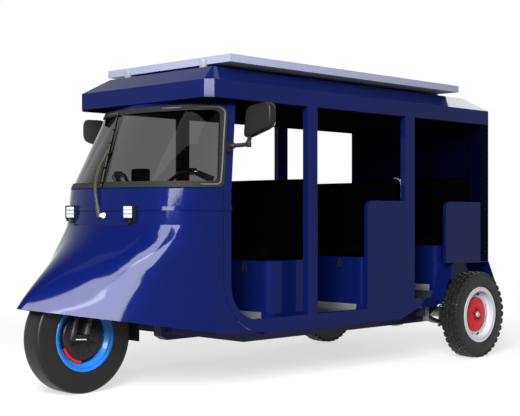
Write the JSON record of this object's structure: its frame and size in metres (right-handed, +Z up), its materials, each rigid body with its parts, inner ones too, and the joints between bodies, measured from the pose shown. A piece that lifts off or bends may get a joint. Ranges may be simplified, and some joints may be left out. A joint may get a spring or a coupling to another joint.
{
  "type": "electric rickshaw",
  "caption": "Electric rickshaw with a long prow over its steered front wheel, open sides, bench seats and a solar module on the roof.",
  "frame": {"origin": "centre of the bounding box at ground level", "axes": "+Z up, -Y forward, +X to the vehicle's left"},
  "size_m": [1.766, 3.82, 1.934],
  "materials": {
    "body_blue": "gloss",
    "frame_paint": "satin",
    "interior_black": "matte",
    "tread_plate": "satin",
    "glass": "gloss",
    "seal_rubber": "matte",
    "module_frame": "satin",
    "seat_vinyl": "satin",
    "chrome": "gloss",
    "black_plastic": "matte",
    "wiper_metal": "satin",
    "red_lens": "gloss",
    "cast_metal": "satin",
    "spring_steel": "matte",
    "black_metal": "satin",
    "tyre_rubber": "matte",
    "rim_blue": "gloss",
    "rim_grey": "satin",
    "hub_red": "gloss"
  },
  "bodies": {
    "body": {"chassis_frame": "frame_paint", "floor_pan": "tread_plate", "bulkhead": "interior_black", "nose_shell": "body_blue", "front_cowl": "body_blue", "screen_frame": "body_blue", "windscreen_glass": "glass", "windscreen_seal": "seal_rubber", "side_frame_left": "body_blue", "side_frame_right": "body_blue", "half_panels": "body_blue", "wheel_boxes": "body_blue", "rear_wall": "body_blue", "roof_shell": "body_blue", "solar_module": "module_frame", "seat_box_front": "body_blue", "seat_box_middle": "body_blue", "seat_box_rear": "body_blue", "cushion_front": "seat_vinyl", "cushion_middle": "seat_vinyl", "cushion_rear": "seat_vinyl", "backrest_front": "seat_vinyl", "backrest_middle": "seat_vinyl", "backrest_rear": "seat_vinyl", "grab_rails": "chrome", "work_lamps": "black_plastic", "wiper": "wiper_metal", "mirrors": "black_plastic", "tail_lamps": "red_lens", "front_mudflap": "seal_rubber", "rear_axle": "cast_metal", "leaf_springs": "spring_steel", "battery_pack": "black_plastic"},
    "steering": {"front_fork": "black_metal", "front_shocks": "spring_steel", "handlebar": "chrome", "instrument_pod": "black_plastic"},
    "front_wheel": {"tyre_front": "tyre_rubber", "rim_front": "rim_blue", "hub_front": "black_metal"},
    "rear_wheel_left": {"tyre_rear_left": "tyre_rubber", "rim_rear_left": "rim_grey", "hub_rear_left": "hub_red"},
    "rear_wheel_right": {"tyre_rear_right": "tyre_rubber", "rim_rear_right": "rim_grey", "hub_rear_right": "hub_red"}
  },
  "joints": [
    {"name": "steering", "type": "hinge", "parent": "body", "child": "steering", "pos_m": [0, -1.61, 0.322], "axis": [0, 0.515, 0.8572], "range_deg": [-30, 30]},
    {"name": "front_wheel_spin", "type": "hinge", "parent": "steering", "child": "front_wheel", "pos_m": [0, -1.51, 0.322], "axis": [1, 0, 0], "continuous": true},
    {"name": "rear_wheel_left_spin", "type": "hinge", "parent": "body", "child": "rear_wheel_left", "pos_m": [0.696, 1.41, 0.304], "axis": [1, 0, 0], "continuous": true},
    {"name": "rear_wheel_right_spin", "type": "hinge", "parent": "body", "child": "rear_wheel_right", "pos_m": [-0.696, 1.41, 0.304], "axis": [1, 0, 0], "continuous": true}
  ]
}
